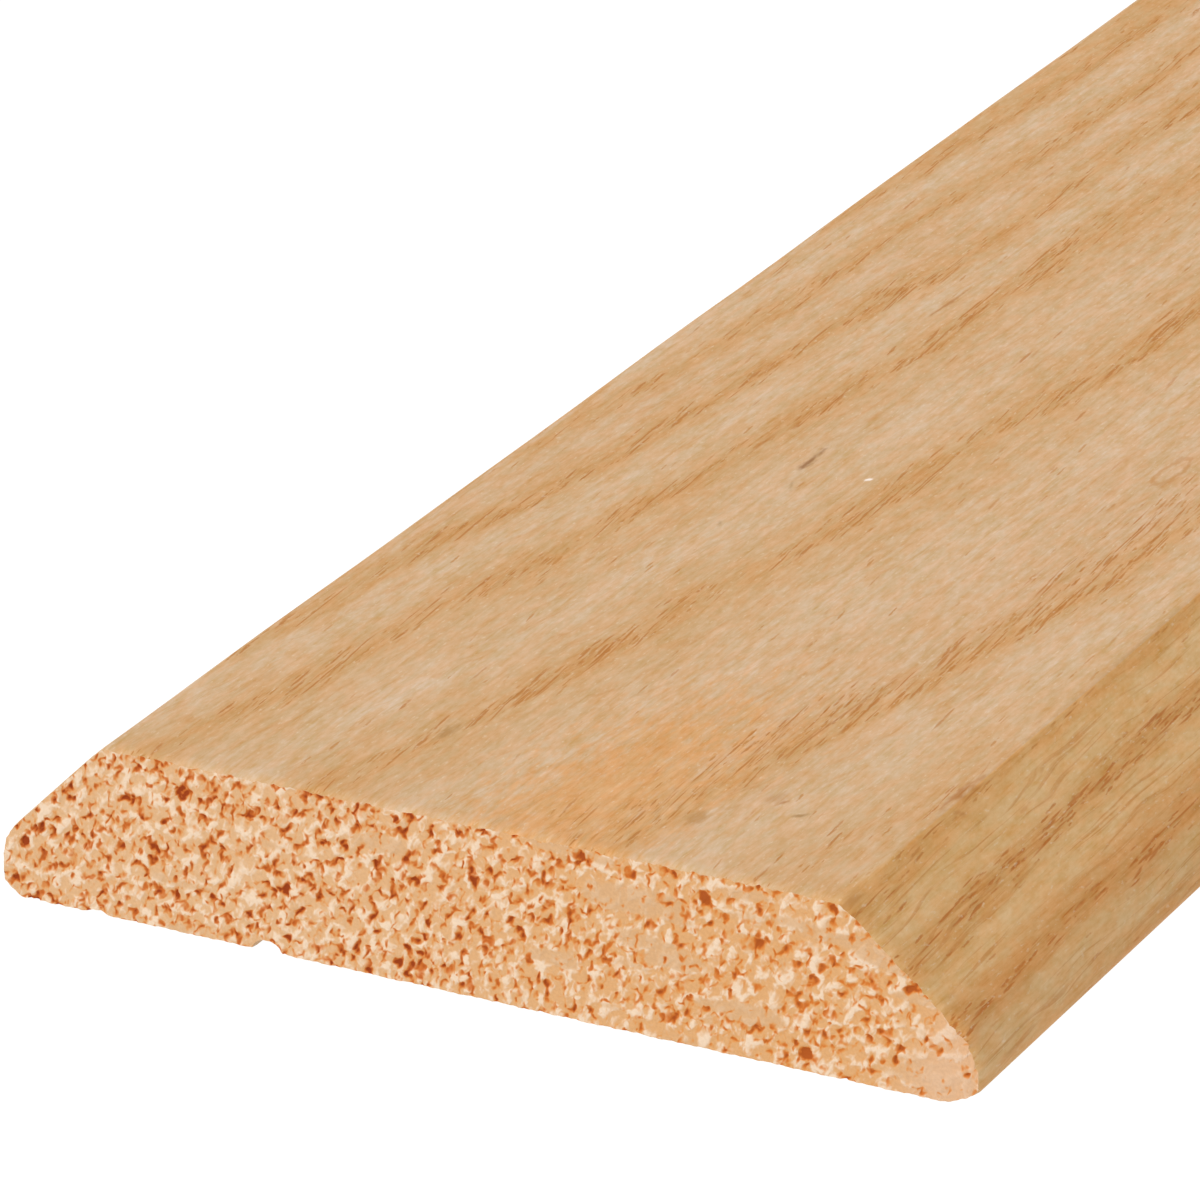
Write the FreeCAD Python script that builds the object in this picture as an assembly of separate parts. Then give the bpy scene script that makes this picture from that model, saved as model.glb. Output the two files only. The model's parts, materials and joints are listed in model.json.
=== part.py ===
import FreeCAD, Part
import math
import os

# A flat-topped hardwood threshold strip, laid across a doorway, with its four floor screws.
# X runs across the strip, Y along it and Z up. The origin is on the flat underside, at the
# middle of the strip, so the floor is the plane Z = 0 and the screws go down into it.
# All sizes are in millimetres and all angles in degrees.

# The strip
STRIP_LENGTH = 914.4
STRIP_WIDTH = 50.8
STRIP_THICKNESS = 8.73
TOP_FLAT_WIDTH = 38.1
BEVEL_ANGLE = 42.5
RIDGE_RADIUS = 0.4
NOSE_RADIUS = 3.175

# The two lower corners: the left one is only eased, the right one is worn further round
LEFT_EASE_WIDTH = 0.8
LEFT_EASE_HEIGHT = 0.7
LEFT_EASE_RADIUS = 0.3
RIGHT_EASE_WIDTH = 1.7
RIGHT_EASE_HEIGHT = 0.75
RIGHT_EASE_RADIUS = 0.8

# The shallow groove along the underside
GROOVE_OFFSET = -11.05
GROOVE_WIDTH = 1.6
GROOVE_DEPTH = 0.55

# The screws: number 8 by one inch, with countersunk heads and a cross recess. The thread starts
# at the underside of the strip, below a thinner plain shank, and is a plain cylinder here.
SCREW_COUNT = 4
END_TO_SCREW = 101.6
SCREW_LENGTH = 25.4
SHANK_RADIUS = 1.6
THREAD_RADIUS = 2.08
HEAD_RADIUS = 4.2
HEAD_RIM = 0.35
HEAD_ANGLE = 82.0
HEAD_BELOW_TOP = 0.15
POINT_LENGTH = 4.5
POINT_RADIUS = 0.15
RECESS_DEPTH = 2.0
RECESS_SPAN = 4.4
RECESS_ROOT_SPAN = 1.9
RECESS_SLOT = 0.9
RECESS_ROOT_SLOT = 0.6
RECESS_TURNS = [18, 64, 26, 72]

# The holes in the strip for them
HOLE_RADIUS = 2.25
SINK_CLEARANCE = 0.06

EPS = 0.001
OVERCUT = 1.0
HALF_LENGTH = STRIP_LENGTH / 2
HALF_WIDTH = STRIP_WIDTH / 2


def xz(x, z):
    """A point of the strip's section, on its near end."""
    return FreeCAD.Vector(x, -HALF_LENGTH, z)


def is_lengthwise(edge):
    """True for a straight edge that runs the whole length of the strip."""
    return abs(edge.BoundBox.YLength - STRIP_LENGTH) < EPS


def edges_at(shape, x, z):
    """The lengthwise edges of a shape through one point of the section."""
    spot = FreeCAD.Vector(x, 0, z)
    return [e for e in shape.Edges if is_lengthwise(e) and e.distToShape(Part.Vertex(spot))[0] < EPS]


def moulded_blank():
    """The moulding's section, run out to full length, with its six long corners rounded."""
    flat = TOP_FLAT_WIDTH / 2
    nose_top = STRIP_THICKNESS - (HALF_WIDTH - flat) * math.tan(math.radians(BEVEL_ANGLE))
    left_foot = (-HALF_WIDTH + LEFT_EASE_WIDTH, 0)
    left_heel = (-HALF_WIDTH, LEFT_EASE_HEIGHT)
    right_foot = (HALF_WIDTH - RIGHT_EASE_WIDTH, 0)
    right_heel = (HALF_WIDTH, RIGHT_EASE_HEIGHT)
    left_nose = (-HALF_WIDTH, nose_top)
    right_nose = (HALF_WIDTH, nose_top)
    left_ridge = (-flat, STRIP_THICKNESS)
    right_ridge = (flat, STRIP_THICKNESS)
    corners = [left_foot, left_heel, left_nose, left_ridge, right_ridge, right_nose, right_heel, right_foot]
    outline = Part.makePolygon([xz(x, z) for x, z in corners + corners[:1]])
    blank = Part.Face(outline).extrude(FreeCAD.Vector(0, STRIP_LENGTH, 0))
    rounds = [
        (left_nose, NOSE_RADIUS),
        (right_nose, NOSE_RADIUS),
        (left_ridge, RIDGE_RADIUS),
        (right_ridge, RIDGE_RADIUS),
        (left_foot, LEFT_EASE_RADIUS),
        (left_heel, LEFT_EASE_RADIUS),
        (right_foot, RIGHT_EASE_RADIUS),
        (right_heel, RIGHT_EASE_RADIUS),
    ]
    for (x, z), radius in rounds:
        blank = blank.makeFillet(radius, edges_at(blank, x, z))
    return blank


def groove_cutter():
    """A long cylinder whose top sinks into the underside as the groove."""
    half = GROOVE_WIDTH / 2
    radius = (half ** 2 + GROOVE_DEPTH ** 2) / (2 * GROOVE_DEPTH)
    start = FreeCAD.Vector(GROOVE_OFFSET, -HALF_LENGTH - OVERCUT, GROOVE_DEPTH - radius)
    return Part.makeCylinder(radius, STRIP_LENGTH + 2 * OVERCUT, start, FreeCAD.Vector(0, 1, 0))


def screw_places():
    """Where the screws stand along the centreline, evenly spaced between the two outer ones."""
    first = -HALF_LENGTH + END_TO_SCREW
    step = (STRIP_LENGTH - 2 * END_TO_SCREW) / (SCREW_COUNT - 1)
    return [first + step * i for i in range(SCREW_COUNT)]


def turned(profile, y):
    """A solid turned from (radius, height) points about the upright axis through (0, y)."""
    points = [FreeCAD.Vector(r, y, z) for r, z in profile]
    face = Part.Face(Part.makePolygon(points + points[:1]))
    return face.revolve(FreeCAD.Vector(0, y, 0), FreeCAD.Vector(0, 0, 1), 360)


def cone_height(wide, narrow):
    """The height over which a countersink narrows from one radius to another."""
    return (wide - narrow) / math.tan(math.radians(HEAD_ANGLE / 2))


def screw_hole(y):
    """The clearance hole and countersink for one screw, a little larger than its head."""
    head_top = STRIP_THICKNESS - HEAD_BELOW_TOP
    cone_top = head_top - HEAD_RIM
    wide = HEAD_RADIUS + SINK_CLEARANCE
    cone_foot = cone_top - cone_height(wide, HOLE_RADIUS)
    above = STRIP_THICKNESS + OVERCUT
    profile = [
        (0, -OVERCUT),
        (HOLE_RADIUS, -OVERCUT),
        (HOLE_RADIUS, cone_foot),
        (wide, cone_top),
        (wide, above),
        (0, above),
    ]
    return turned(profile, y)


def recess_arm(y, head_top, turn):
    """One blade of the cross recess, narrowing towards its floor."""
    loops = []
    for z, span, slot in [
        (head_top + EPS, RECESS_SPAN, RECESS_SLOT),
        (head_top - RECESS_DEPTH, RECESS_ROOT_SPAN, RECESS_ROOT_SLOT),
    ]:
        signs = [(-1, -1), (1, -1), (1, 1), (-1, 1)]
        points = [FreeCAD.Vector(i * span / 2, y + j * slot / 2, z) for i, j in signs]
        loops.append(Part.makePolygon(points + points[:1]))
    blade = Part.makeLoft(loops, True, True)
    blade.rotate(FreeCAD.Vector(0, y, 0), FreeCAD.Vector(0, 0, 1), turn)
    return blade


def floor_screw(y, turn):
    """One countersunk screw, driven until its head sits just below the top of the strip."""
    head_top = STRIP_THICKNESS - HEAD_BELOW_TOP
    cone_top = head_top - HEAD_RIM
    cone_foot = cone_top - cone_height(HEAD_RADIUS, SHANK_RADIUS)
    tip = head_top - SCREW_LENGTH
    profile = [
        (0, head_top),
        (HEAD_RADIUS, head_top),
        (HEAD_RADIUS, cone_top),
        (SHANK_RADIUS, cone_foot),
        (SHANK_RADIUS, 0),
        (THREAD_RADIUS, 0),
        (THREAD_RADIUS, tip + POINT_LENGTH),
        (POINT_RADIUS, tip),
        (0, tip),
    ]
    screw = turned(profile, y)
    for quarter in (0, 90):
        screw = screw.cut(recess_arm(y, head_top, turn + quarter))
    return screw


def save(name, shape):
    """Writes one node, which must be a single closed solid."""
    solid = shape.Solids[0]
    if len(shape.Solids) != 1 or not solid.isValid() or solid.Volume <= 0:
        raise ValueError(name + " is not one valid solid")
    solid.exportStep("parts/" + name + ".step")
    print(name, round(solid.Volume, 1), "mm3")


os.makedirs("parts", exist_ok=True)
strip = moulded_blank().cut(groove_cutter())
for place in screw_places():
    strip = strip.cut(screw_hole(place))
save("hardwood_strip", strip)
for number, (place, turn) in enumerate(zip(screw_places(), RECESS_TURNS), start=1):
    save("floor_screw_" + str(number), floor_screw(place, turn))
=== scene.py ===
import json
import math

import bpy
import numpy as np
from mathutils import Matrix, Vector


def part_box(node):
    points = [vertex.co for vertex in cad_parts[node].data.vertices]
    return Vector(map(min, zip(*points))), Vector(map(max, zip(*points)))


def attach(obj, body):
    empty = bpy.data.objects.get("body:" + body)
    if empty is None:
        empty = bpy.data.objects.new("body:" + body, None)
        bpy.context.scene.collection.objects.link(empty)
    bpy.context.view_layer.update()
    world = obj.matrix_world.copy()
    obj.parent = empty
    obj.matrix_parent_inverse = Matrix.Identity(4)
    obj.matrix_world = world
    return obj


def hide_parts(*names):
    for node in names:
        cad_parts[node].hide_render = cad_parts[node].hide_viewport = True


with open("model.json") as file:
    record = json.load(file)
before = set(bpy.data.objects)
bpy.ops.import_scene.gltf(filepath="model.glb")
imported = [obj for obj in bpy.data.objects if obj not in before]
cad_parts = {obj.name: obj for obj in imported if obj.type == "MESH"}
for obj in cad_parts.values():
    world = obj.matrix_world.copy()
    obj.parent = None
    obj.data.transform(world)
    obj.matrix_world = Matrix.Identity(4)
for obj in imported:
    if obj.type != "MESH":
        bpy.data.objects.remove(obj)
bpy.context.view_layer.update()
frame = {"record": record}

# A hardwood threshold strip and its four floor screws. Meshes and places are worked out in
# millimetres in the part's frame: X across the strip, Y along it, Z up from the floor.
# The near end, which the camera looks at, is at -Y.
MM = 0.001
_, strip_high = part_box("hardwood_strip")
HALF_WIDTH = strip_high.x / MM
HALF_LENGTH = strip_high.y / MM
THICKNESS = strip_high.z / MM
SCREWS = ["floor_screw_1", "floor_screw_2", "floor_screw_3", "floor_screw_4"]

# The moulding's section
TOP_HALF_WIDTH = 19.05
BEVEL_ANGLE = math.radians(42.5)
RIDGE_RADIUS = 0.4
NOSE_RADIUS = 3.175
NOSE_MIDDLE = 1.39
# How each lower corner is eased: width, height and radius
LEFT_EASE = (0.8, 0.7, 0.3)
RIGHT_EASE = (1.7, 0.75, 0.8)
GROOVE_OFFSET = -11.05
GROOVE_WIDTH = 1.6
GROOVE_DEPTH = 0.55

# The strip's materials, in the order of their slots
PLANED, SAWN, BORED = range(3)

# The mesh of the sawn ends and of the length between them: the grid over each end, how many
# stations at each end have all of its columns, and the step between the columns kept elsewhere,
# apart from a band round each ridge that keeps them all
END_COLUMNS = 390
END_ROWS = 62
FINE_STATIONS = 6
COARSE_STEP = 8
RIDGE_BAND = 1.6
# The first stations from each end, and the steps between the next ones and those in the middle
END_STATIONS = [0, 0.16, 0.4, 0.8, 1.5, 2.6, 4.2, 6.5, 9.5]
NEAR_STEP = 4
MIDDLE_STEP = 12

# How deep the torn vessels, their cores and the low fibre lie in the sawn ends
RELIEF_SPECK = 0.035
RELIEF_CORE = 0.06
RELIEF_CHUNK = 0.03

# How far the ridges and the arrises of the ends are worn back, and over what width
RIDGE_WEAR = 0.05
RIDGE_WEAR_WIDTH = 0.8
LOWER_ARRIS_WEAR = 0.05
BEVEL_ARRIS_WEAR = 0.06
TOP_ARRIS_WEAR = 0.10
NOSE_ARRIS_WEAR = 0.12
ARRIS_WIDTH = 0.22
# The most worn spot of the right nose, in X and height, and how far the wear spreads each way
NOSE_WORN_SPOT = (24.5, 2.9)
NOSE_WORN_REACH = (1.3, 1.5)
# A shallow chip in the lower arris of the near end
CHIP_PLACE = -20.3
CHIP_HALF_WIDTH = 0.45
CHIP_LENGTH = 1.6
CHIP_DEPTH = 0.16

# The screw holes and the screws
HOLE_RADIUS = 2.25
HEAD_RADIUS = 4.2
HEAD_RIM = 0.35
HEAD_ANGLE = math.radians(82)
SINK_CLEARANCE = 0.06
SHANK_RADIUS = 1.6
POINT_LENGTH = 4.5
THREAD_PITCH = 1.8
THREAD_ROOT = 1.45
# Half a tooth's width, in pitches, and the radii of the core and the crest at the very point
THREAD_TOOTH = 0.24
POINT_CORE = 0.12
POINT_CREST = 0.16
RECESS_DEPTH = 2.0
RECESS_SPAN = 4.4
RECESS_ROOT_SPAN = 1.9
RECESS_SLOT = 0.9
RECESS_ROOT_SLOT = 0.6
RECESS_TURNS = [18, 64, 26, 72]
RIM_EASE_DEPTH = 0.12
RIM_EASE_WIDTH = 0.16
HOLE_SEGMENTS = 64
SCREW_SEGMENTS = 40
THREAD_ROW = 0.15

# How brightly this studio lights the top, the right bevel and the near end
TOP_LIGHT = 1.24
BEVEL_LIGHT = 0.98
END_LIGHT = 1.54


def linear(level):
    """The linear value of one 8-bit screen level."""
    share = level / 255
    return share / 12.92 if share <= 0.04045 else ((share + 0.055) / 1.055) ** 2.4


def seen(red, green, blue, light=TOP_LIGHT):
    """The base colour that shows as this screen colour where the light is this strong."""
    return tuple(linear(level) / light for level in (red, green, blue)) + (1.0,)


# ---------------------------------------------------------------------------------------------
# Node building
# ---------------------------------------------------------------------------------------------
class Maker:
    """Adds nodes to a shader or geometry tree and returns their output sockets."""

    def __init__(self, tree):
        self.tree = tree

    def feed(self, socket, value):
        if isinstance(value, bpy.types.NodeSocket):
            self.tree.links.new(value, socket)
        else:
            socket.default_value = value

    def node(self, kind, values=(), **settings):
        made = self.tree.nodes.new(kind)
        for name, value in settings.items():
            setattr(made, name, value)
        for key, value in dict(values).items():
            self.feed(made.inputs[key], value)
        return made

    def math(self, operation, *values):
        made = self.node("ShaderNodeMath", dict(enumerate(values)), operation=operation)
        return made.outputs[0]

    def vector(self, operation, *values):
        made = self.node("ShaderNodeVectorMath", dict(enumerate(values)), operation=operation)
        return made.outputs[0]

    def measure(self, operation, *vectors):
        """The one number that a dot product or a length gives."""
        made = self.node("ShaderNodeVectorMath", dict(enumerate(vectors)), operation=operation)
        return made.outputs["Value"]

    def scaled(self, vector, amount):
        made = self.node("ShaderNodeVectorMath", {0: vector, "Scale": amount}, operation="SCALE")
        return made.outputs[0]

    def joined(self, x, y, z):
        return self.node("ShaderNodeCombineXYZ", {0: x, 1: y, 2: z}).outputs[0]

    def split(self, vector):
        return self.node("ShaderNodeSeparateXYZ", {0: vector}).outputs

    def stretched(self, vector, sizes):
        """A vector measured in cells of the given size along each axis."""
        return self.vector("DIVIDE", vector, sizes)

    def noise(self, vector, detail=2.0, roughness=0.5, distortion=0.0):
        values = {"Vector": vector, "Scale": 1.0, "Detail": detail}
        values.update({"Roughness": roughness, "Distortion": distortion})
        return self.node("ShaderNodeTexNoise", values).outputs[0]

    def swayed(self, value, field, amount):
        """A value moved up and down by a noise, whose middle is 0.5."""
        return self.math("MULTIPLY_ADD", self.math("SUBTRACT", field, 0.5), amount, value)

    def cells(self, vector):
        """The distance to the nearest of the scattered points, and that point's own random colour."""
        made = self.node("ShaderNodeTexVoronoi", {"Vector": vector, "Scale": 1.0})
        return made.outputs["Distance"], made.outputs["Color"]

    def step(self, value, low, high, at_low=0.0, at_high=1.0):
        """A smooth step between two values, which may fall instead of rise."""
        if low > high:
            low, high, at_low, at_high = high, low, at_high, at_low
        values = {0: value, 1: low, 2: high, 3: at_low, 4: at_high}
        return self.node("ShaderNodeMapRange", values, interpolation_type="SMOOTHSTEP").outputs[0]

    def mixed(self, amount, first, second):
        return self.node("ShaderNodeMix", {0: amount, 6: first, 7: second}, data_type="RGBA").outputs[2]

    def ramp(self, value, stops):
        """A ramp over (position, colour) stops."""
        made = self.node("ShaderNodeValToRGB", {0: value})
        band = made.color_ramp
        band.interpolation = "EASE"
        while len(band.elements) < len(stops):
            band.elements.new(1.0)
        for element, (place, colour) in zip(band.elements, stops):
            element.position = place
            element.color = colour
        return made.outputs[0]


def new_material(name):
    """A Principled material, with its maker and its shader node."""
    material = bpy.data.materials.new(name)
    material.use_nodes = True
    make = Maker(material.node_tree)
    shader = material.node_tree.nodes["Principled BSDF"]
    return material, make, shader


def set_relief(make, shader, height, depth, strength):
    """Bumps a shader's surface by a height field, to a depth in millimetres."""
    values = {"Height": height, "Distance": depth * MM, "Strength": strength}
    make.feed(shader.inputs["Normal"], make.node("ShaderNodeBump", values).outputs[0])


# ---------------------------------------------------------------------------------------------
# The wood
# ---------------------------------------------------------------------------------------------
# Growth bands across the board: place across the rings in millimetres, and the broad colour there
RING_LOW = -36.0
RING_SPAN = 70.0
PALE = seen(214, 179, 142)
STRAW = seen(213, 175, 136)
TAN = seen(211, 171, 128)
BROWN = seen(209, 164, 114)
HONEY = seen(195, 148, 93, BEVEL_LIGHT)
OLIVE = seen(200, 160, 110, BEVEL_LIGHT)
UMBER = seen(192, 142, 88, BEVEL_LIGHT)
GROWTH = [
    (-30.5, BROWN),
    (-29.0, PALE),
    (-26.5, BROWN),
    (-25.0, STRAW),
    (-22.5, BROWN),
    (-20.5, PALE),
    (-17.2, BROWN),
    (-15.2, TAN),
    (-12.0, PALE),
    (-9.5, TAN),
    (-7.6, BROWN),
    (-5.5, TAN),
    (-2.0, PALE),
    (1.0, STRAW),
    (4.4, STRAW),
    (6.8, BROWN),
    (8.2, STRAW),
    (10.5, PALE),
    (13.5, TAN),
    (17.5, TAN),
    (19.4, HONEY),
    (20.6, HONEY),
    (21.9, OLIVE),
    (23.4, OLIVE),
    (24.8, HONEY),
    (27.2, OLIVE),
    (29.0, UMBER),
    (30.0, UMBER),
    (31.2, OLIVE),
    (32.2, OLIVE),
    (33.2, HONEY),
    (34.0, UMBER),
]
# Narrow lines of open pores: place, how far they thin out on either side, strength
PORE_LINES = [
    (-30.4, 1.2, 0.6, 0.8),
    (-26.4, 1.0, 0.6, 0.6),
    (-22.4, 1.3, 0.6, 0.9),
    (-17.0, 1.8, 0.7, 1.0),
    (-7.4, 1.8, 0.8, 1.0),
    (6.9, 5.0, 0.7, 0.8),
    (16.0, 2.5, 1.5, 0.25),
    (20.3, 1.0, 0.7, 0.8),
    (25.0, 1.7, 1.5, 1.0),
    (29.6, 1.0, 0.9, 1.0),
]
# How much more blue than red the wood loses where it's darker, and its warmer and cooler tints
WARMING = (0.6, 1.05, 2.3)
WARMER = (1.03, 0.965, 0.88)
COOLER = (0.985, 1.02, 1.02)
LINE_TONE = seen(199, 141, 78)
PORE = seen(192, 132, 68)
PORE_DARK = seen(186, 120, 54)
BEVEL_PORE = seen(168, 100, 40, BEVEL_LIGHT)
FLECK = seen(233, 208, 176)

# Marks on the top near the end: X, distance from the near end, half length, half width, turn of
# the long side away from the strip's length in degrees, strength, colour
SMUDGE = seen(164, 124, 70)
STAIN = seen(176, 112, 50)
WHITE = seen(255, 240, 226)
MARKS = [
    (-4.9, 39.7, 1.7, 0.32, 5, 0.80, seen(146, 98, 54)),
    (-4.3, 36.9, 0.8, 0.14, 20, 0.40, SMUDGE),
    (-1.2, 38.9, 0.30, 0.17, -50, 1.0, WHITE),
    (-8.0, 59.5, 2.6, 0.11, -3, 0.60, STAIN),
    (-5.4, 7.7, 1.5, 0.45, 8, 0.50, SMUDGE),
    (-5.3, 31.8, 0.4, 0.16, 15, 0.50, SMUDGE),
    (13.4, 6.4, 0.45, 0.20, -50, 0.75, SMUDGE),
    (12.2, 7.3, 0.32, 0.16, -20, 0.70, STAIN),
    (11.6, 7.5, 0.9, 0.6, 0, 0.30, STAIN),
    (9.4, 4.5, 0.9, 0.65, 10, 0.45, SMUDGE),
    (10.2, 15.0, 6.0, 0.08, -4, 0.55, STAIN),
    (18.8, 11.2, 2.0, 0.30, -1, 0.70, STAIN),
    (19.5, 10.1, 0.45, 0.22, -30, 0.60, STAIN),
]
# A warmer stretch of the top beside the near end: X, distance from it, half length, half width,
# turn, strength, colour
GLOW = (4.5, 5.0, 15.0, 6.0, -8, 0.85, seen(220, 164, 106))
# A pin knot: X, distance from the near end, half width, half length
KNOT = (11.8, 45.0, 0.55, 1.7)


def board_position(make):
    """Object coordinates in millimetres, with Y measured from the near end."""
    place = make.node("ShaderNodeTexCoord").outputs["Object"]
    place = make.scaled(place, 1 / MM)
    return make.vector("ADD", place, (0.0, HALF_LENGTH, 0.0))


def ring_place(make, place):
    """Where a point lies across the growth rings, folded into the range of the bands."""
    wobble = make.noise(make.stretched(place, (5.0, 19.0, 5.0)), detail=3.0)
    drift = make.noise(make.stretched(place, (60.0, 170.0, 60.0)), detail=1.0)
    fine = make.noise(make.stretched(place, (1.1, 7.0, 1.1)), detail=1.0)
    x, y, z = make.split(place)
    depth = make.math("SUBTRACT", THICKNESS, z)
    # the rings sweep across the board near the end, then wander along it
    sweep = make.math("EXPONENT", make.math("DIVIDE", y, -55.0))
    sweep = make.math("MULTIPLY", make.math("SUBTRACT", 1.0, sweep), 17.0)
    roam = make.step(y, 90.0, 260.0, 0.0, 60.0)
    sweep = make.swayed(sweep, drift, roam)
    # on the bevels they lean a little the other way
    lean = make.step(depth, 0.03, 0.13, 1.0, -0.17)
    sweep = make.math("MULTIPLY", sweep, lean)
    side = make.math("DIVIDE", x, 10.0)
    side = make.math("MAXIMUM", make.math("MINIMUM", side, 1.0), -1.0)
    ring = make.math("MULTIPLY_ADD", depth, side, x)
    ring = make.math("SUBTRACT", ring, sweep)
    ring = make.swayed(ring, wobble, 3.0)
    ring = make.swayed(ring, fine, 1.3)
    folded = make.math("PINGPONG", make.math("SUBTRACT", ring, RING_LOW), RING_SPAN)
    return make.math("DIVIDE", folded, RING_SPAN)


def ring_stop(place):
    """The place of a growth band on a ramp."""
    return (place - RING_LOW) / RING_SPAN


def growth_tone(make, ring):
    """The broad colour of the growth bands."""
    return make.ramp(ring, [(ring_stop(place), tone) for place, tone in GROWTH])


def pore_lines(make, ring):
    """How strongly a point belongs to one of the narrow lines of open pores, from 0 to 1."""
    stops = []
    for place, before, after, strength in PORE_LINES:
        stops.append((ring_stop(place - before), (0, 0, 0, 1)))
        stops.append((ring_stop(place), (strength, strength, strength, 1)))
        stops.append((ring_stop(place + after), (0, 0, 0, 1)))
    return make.split(make.ramp(ring, stops))[0]


def pore_layer(make, place, size, share, seed):
    """Vessels cut lengthwise: short dark dashes, kept where their random number is under a share."""
    bend = make.noise(make.stretched(place, (1.4, 5.0, 1.4)), detail=1.0)
    x, y, z = make.split(place)
    # the dashes slant and bend a little
    x = make.math("MULTIPLY_ADD", y, 0.07, x)
    x = make.math("MULTIPLY_ADD", bend, 0.5, x)
    shifted = make.joined(x, make.math("ADD", y, seed), z)
    distance, colour = make.cells(make.stretched(shifted, size))
    chance, girth, _ = make.split(colour)
    ragged_size = (size[0] * 0.8, size[1] * 0.25, size[2] * 0.8)
    ragged = make.noise(make.stretched(place, ragged_size), detail=1.0)
    distance = make.swayed(distance, ragged, 0.7)
    rim = make.math("MULTIPLY_ADD", girth, 0.22, 0.22)
    shape = make.math("DIVIDE", distance, rim)
    shape = make.step(shape, 1.2, 0.45)
    keep = make.step(make.math("SUBTRACT", share, chance), 0.0, 0.12)
    return make.math("MULTIPLY", shape, keep)


def marked(make, place, colour, mark):
    """The colour with one soft-edged mark laid over it."""
    x, y, half_length, half_width, turn, strength, tone = mark
    angle = math.radians(turn)
    apart = make.vector("SUBTRACT", place, (x, y, THICKNESS))
    along = make.measure("DOT_PRODUCT", apart, (-math.sin(angle), math.cos(angle), 0))
    across = make.measure("DOT_PRODUCT", apart, (math.cos(angle), math.sin(angle), 0))
    along = make.math("DIVIDE", along, half_length)
    across = make.math("DIVIDE", across, half_width)
    down = make.split(apart)[2]
    radius = make.measure("LENGTH", make.joined(along, across, down))
    rough = make.noise(make.stretched(place, (0.3, 0.9, 0.5)), detail=2.0)
    radius = make.math("MULTIPLY_ADD", rough, 2.0, radius)
    mask = make.step(radius, 2.1, 1.1)
    return make.mixed(make.math("MULTIPLY", mask, strength), colour, tone)


def knot_rings(make, place):
    """The swirl of fibres round the pin knot."""
    x, y, half_width, half_length = KNOT
    apart = make.vector("SUBTRACT", place, (x, y, THICKNESS))
    apart = make.stretched(apart, (half_width, half_length, half_width))
    radius = make.measure("LENGTH", apart)
    rough = make.noise(make.stretched(place, (0.5, 1.2, 0.5)), detail=3.0)
    radius = make.math("MULTIPLY_ADD", rough, 1.5, radius)
    ripple = make.math("PINGPONG", radius, 0.55)
    return make.math("MULTIPLY", make.step(ripple, 0.30, 0.50), make.step(radius, 2.6, 1.7))


def banded(make, place, ring, line, thread, bevel):
    """The bands' broad colour, with the tone of the pore lines and thin darker lines along them."""
    colour = marked(make, place, growth_tone(make, ring), GLOW)
    broken = make.math("MULTIPLY", line, make.step(thread, 0.38, 0.66, 0.15, 1.0))
    broken = make.math("MULTIPLY", broken, make.math("MULTIPLY_ADD", bevel, 0.25, 0.5))
    colour = make.mixed(broken, colour, LINE_TONE)
    across = make.math("MULTIPLY", ring, RING_SPAN / 0.28)
    along = make.math("DIVIDE", make.split(place)[1], 12.0)
    late = make.noise(make.joined(across, along, 0.0), detail=2.0, roughness=0.6)
    late = make.step(late, 0.55, 0.67)
    late = make.math("MULTIPLY", late, make.math("MULTIPLY_ADD", bevel, 0.40, 0.25))
    return make.mixed(late, colour, LINE_TONE)


def mottled(make, place, colour, grit, streak, thread):
    """The colour made uneven, broadly and finely: darker and more orange, or paler and cooler."""
    cloud = make.noise(make.stretched(place, (2.2, 7.0, 2.2)), detail=2.0)
    blotch = make.noise(make.stretched(place, (0.42, 1.6, 0.42)), detail=2.0, roughness=0.6)
    tint = make.noise(make.stretched(place, (0.5, 1.4, 0.5)), detail=3.0)
    change = make.math("MULTIPLY", make.step(thread, 0.56, 0.66), -0.07)
    for field, amount in ((cloud, 0.20), (blotch, 0.44), (grit, 0.32), (streak, 0.26)):
        change = make.swayed(change, field, amount)
    gain = make.vector("ADD", make.scaled(WARMING, change), (1, 1, 1))
    colour = make.vector("MULTIPLY", colour, gain)
    warm = make.vector("MULTIPLY", colour, WARMER)
    cool = make.vector("MULTIPLY", colour, COOLER)
    return make.mixed(make.step(tint, 0.35, 0.65), cool, warm)


def pore_layers(make, place, line, cluster, bevel):
    """Fine, coarse and long pores, in clusters within the lines and thinly strewn between them."""
    share = make.math("MULTIPLY_ADD", line, 0.95, 0.11)
    share = make.math("MULTIPLY", share, make.step(cluster, 0.32, 0.68, 0.3, 1.3))
    coarse_share = make.math("MULTIPLY", share, make.math("MULTIPLY_ADD", bevel, 0.05, 0.75))
    open_share = make.math("MULTIPLY", line, make.math("MULTIPLY_ADD", bevel, 0.4, 1.0))
    fine = pore_layer(make, place, (0.18, 1.5, 0.18), share, 0.0)
    coarse = pore_layer(make, place, (0.24, 2.7, 0.24), coarse_share, 31.0)
    opened = pore_layer(make, place, (0.16, 7.0, 0.16), open_share, 57.0)
    return fine, coarse, opened


def ridge_shade_dashes(make, place, cluster):
    """Where a painted dark line of shade runs along the ridges, broken into dashes, close to the near end.
    """
    x, y, z = make.split(place)
    mask = make.step(make.math("ABSOLUTE", x), TOP_HALF_WIDTH - 0.25, TOP_HALF_WIDTH + 0.1)
    mask = make.math("MULTIPLY", mask, make.step(z, THICKNESS - 0.55, THICKNESS - 0.2))
    mask = make.math("MULTIPLY", mask, make.step(cluster, 0.50, 0.62, 0.0, 0.7))
    return make.math("MULTIPLY", mask, make.step(y, 14.0, 24.0, 1.0, 0.0))


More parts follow.
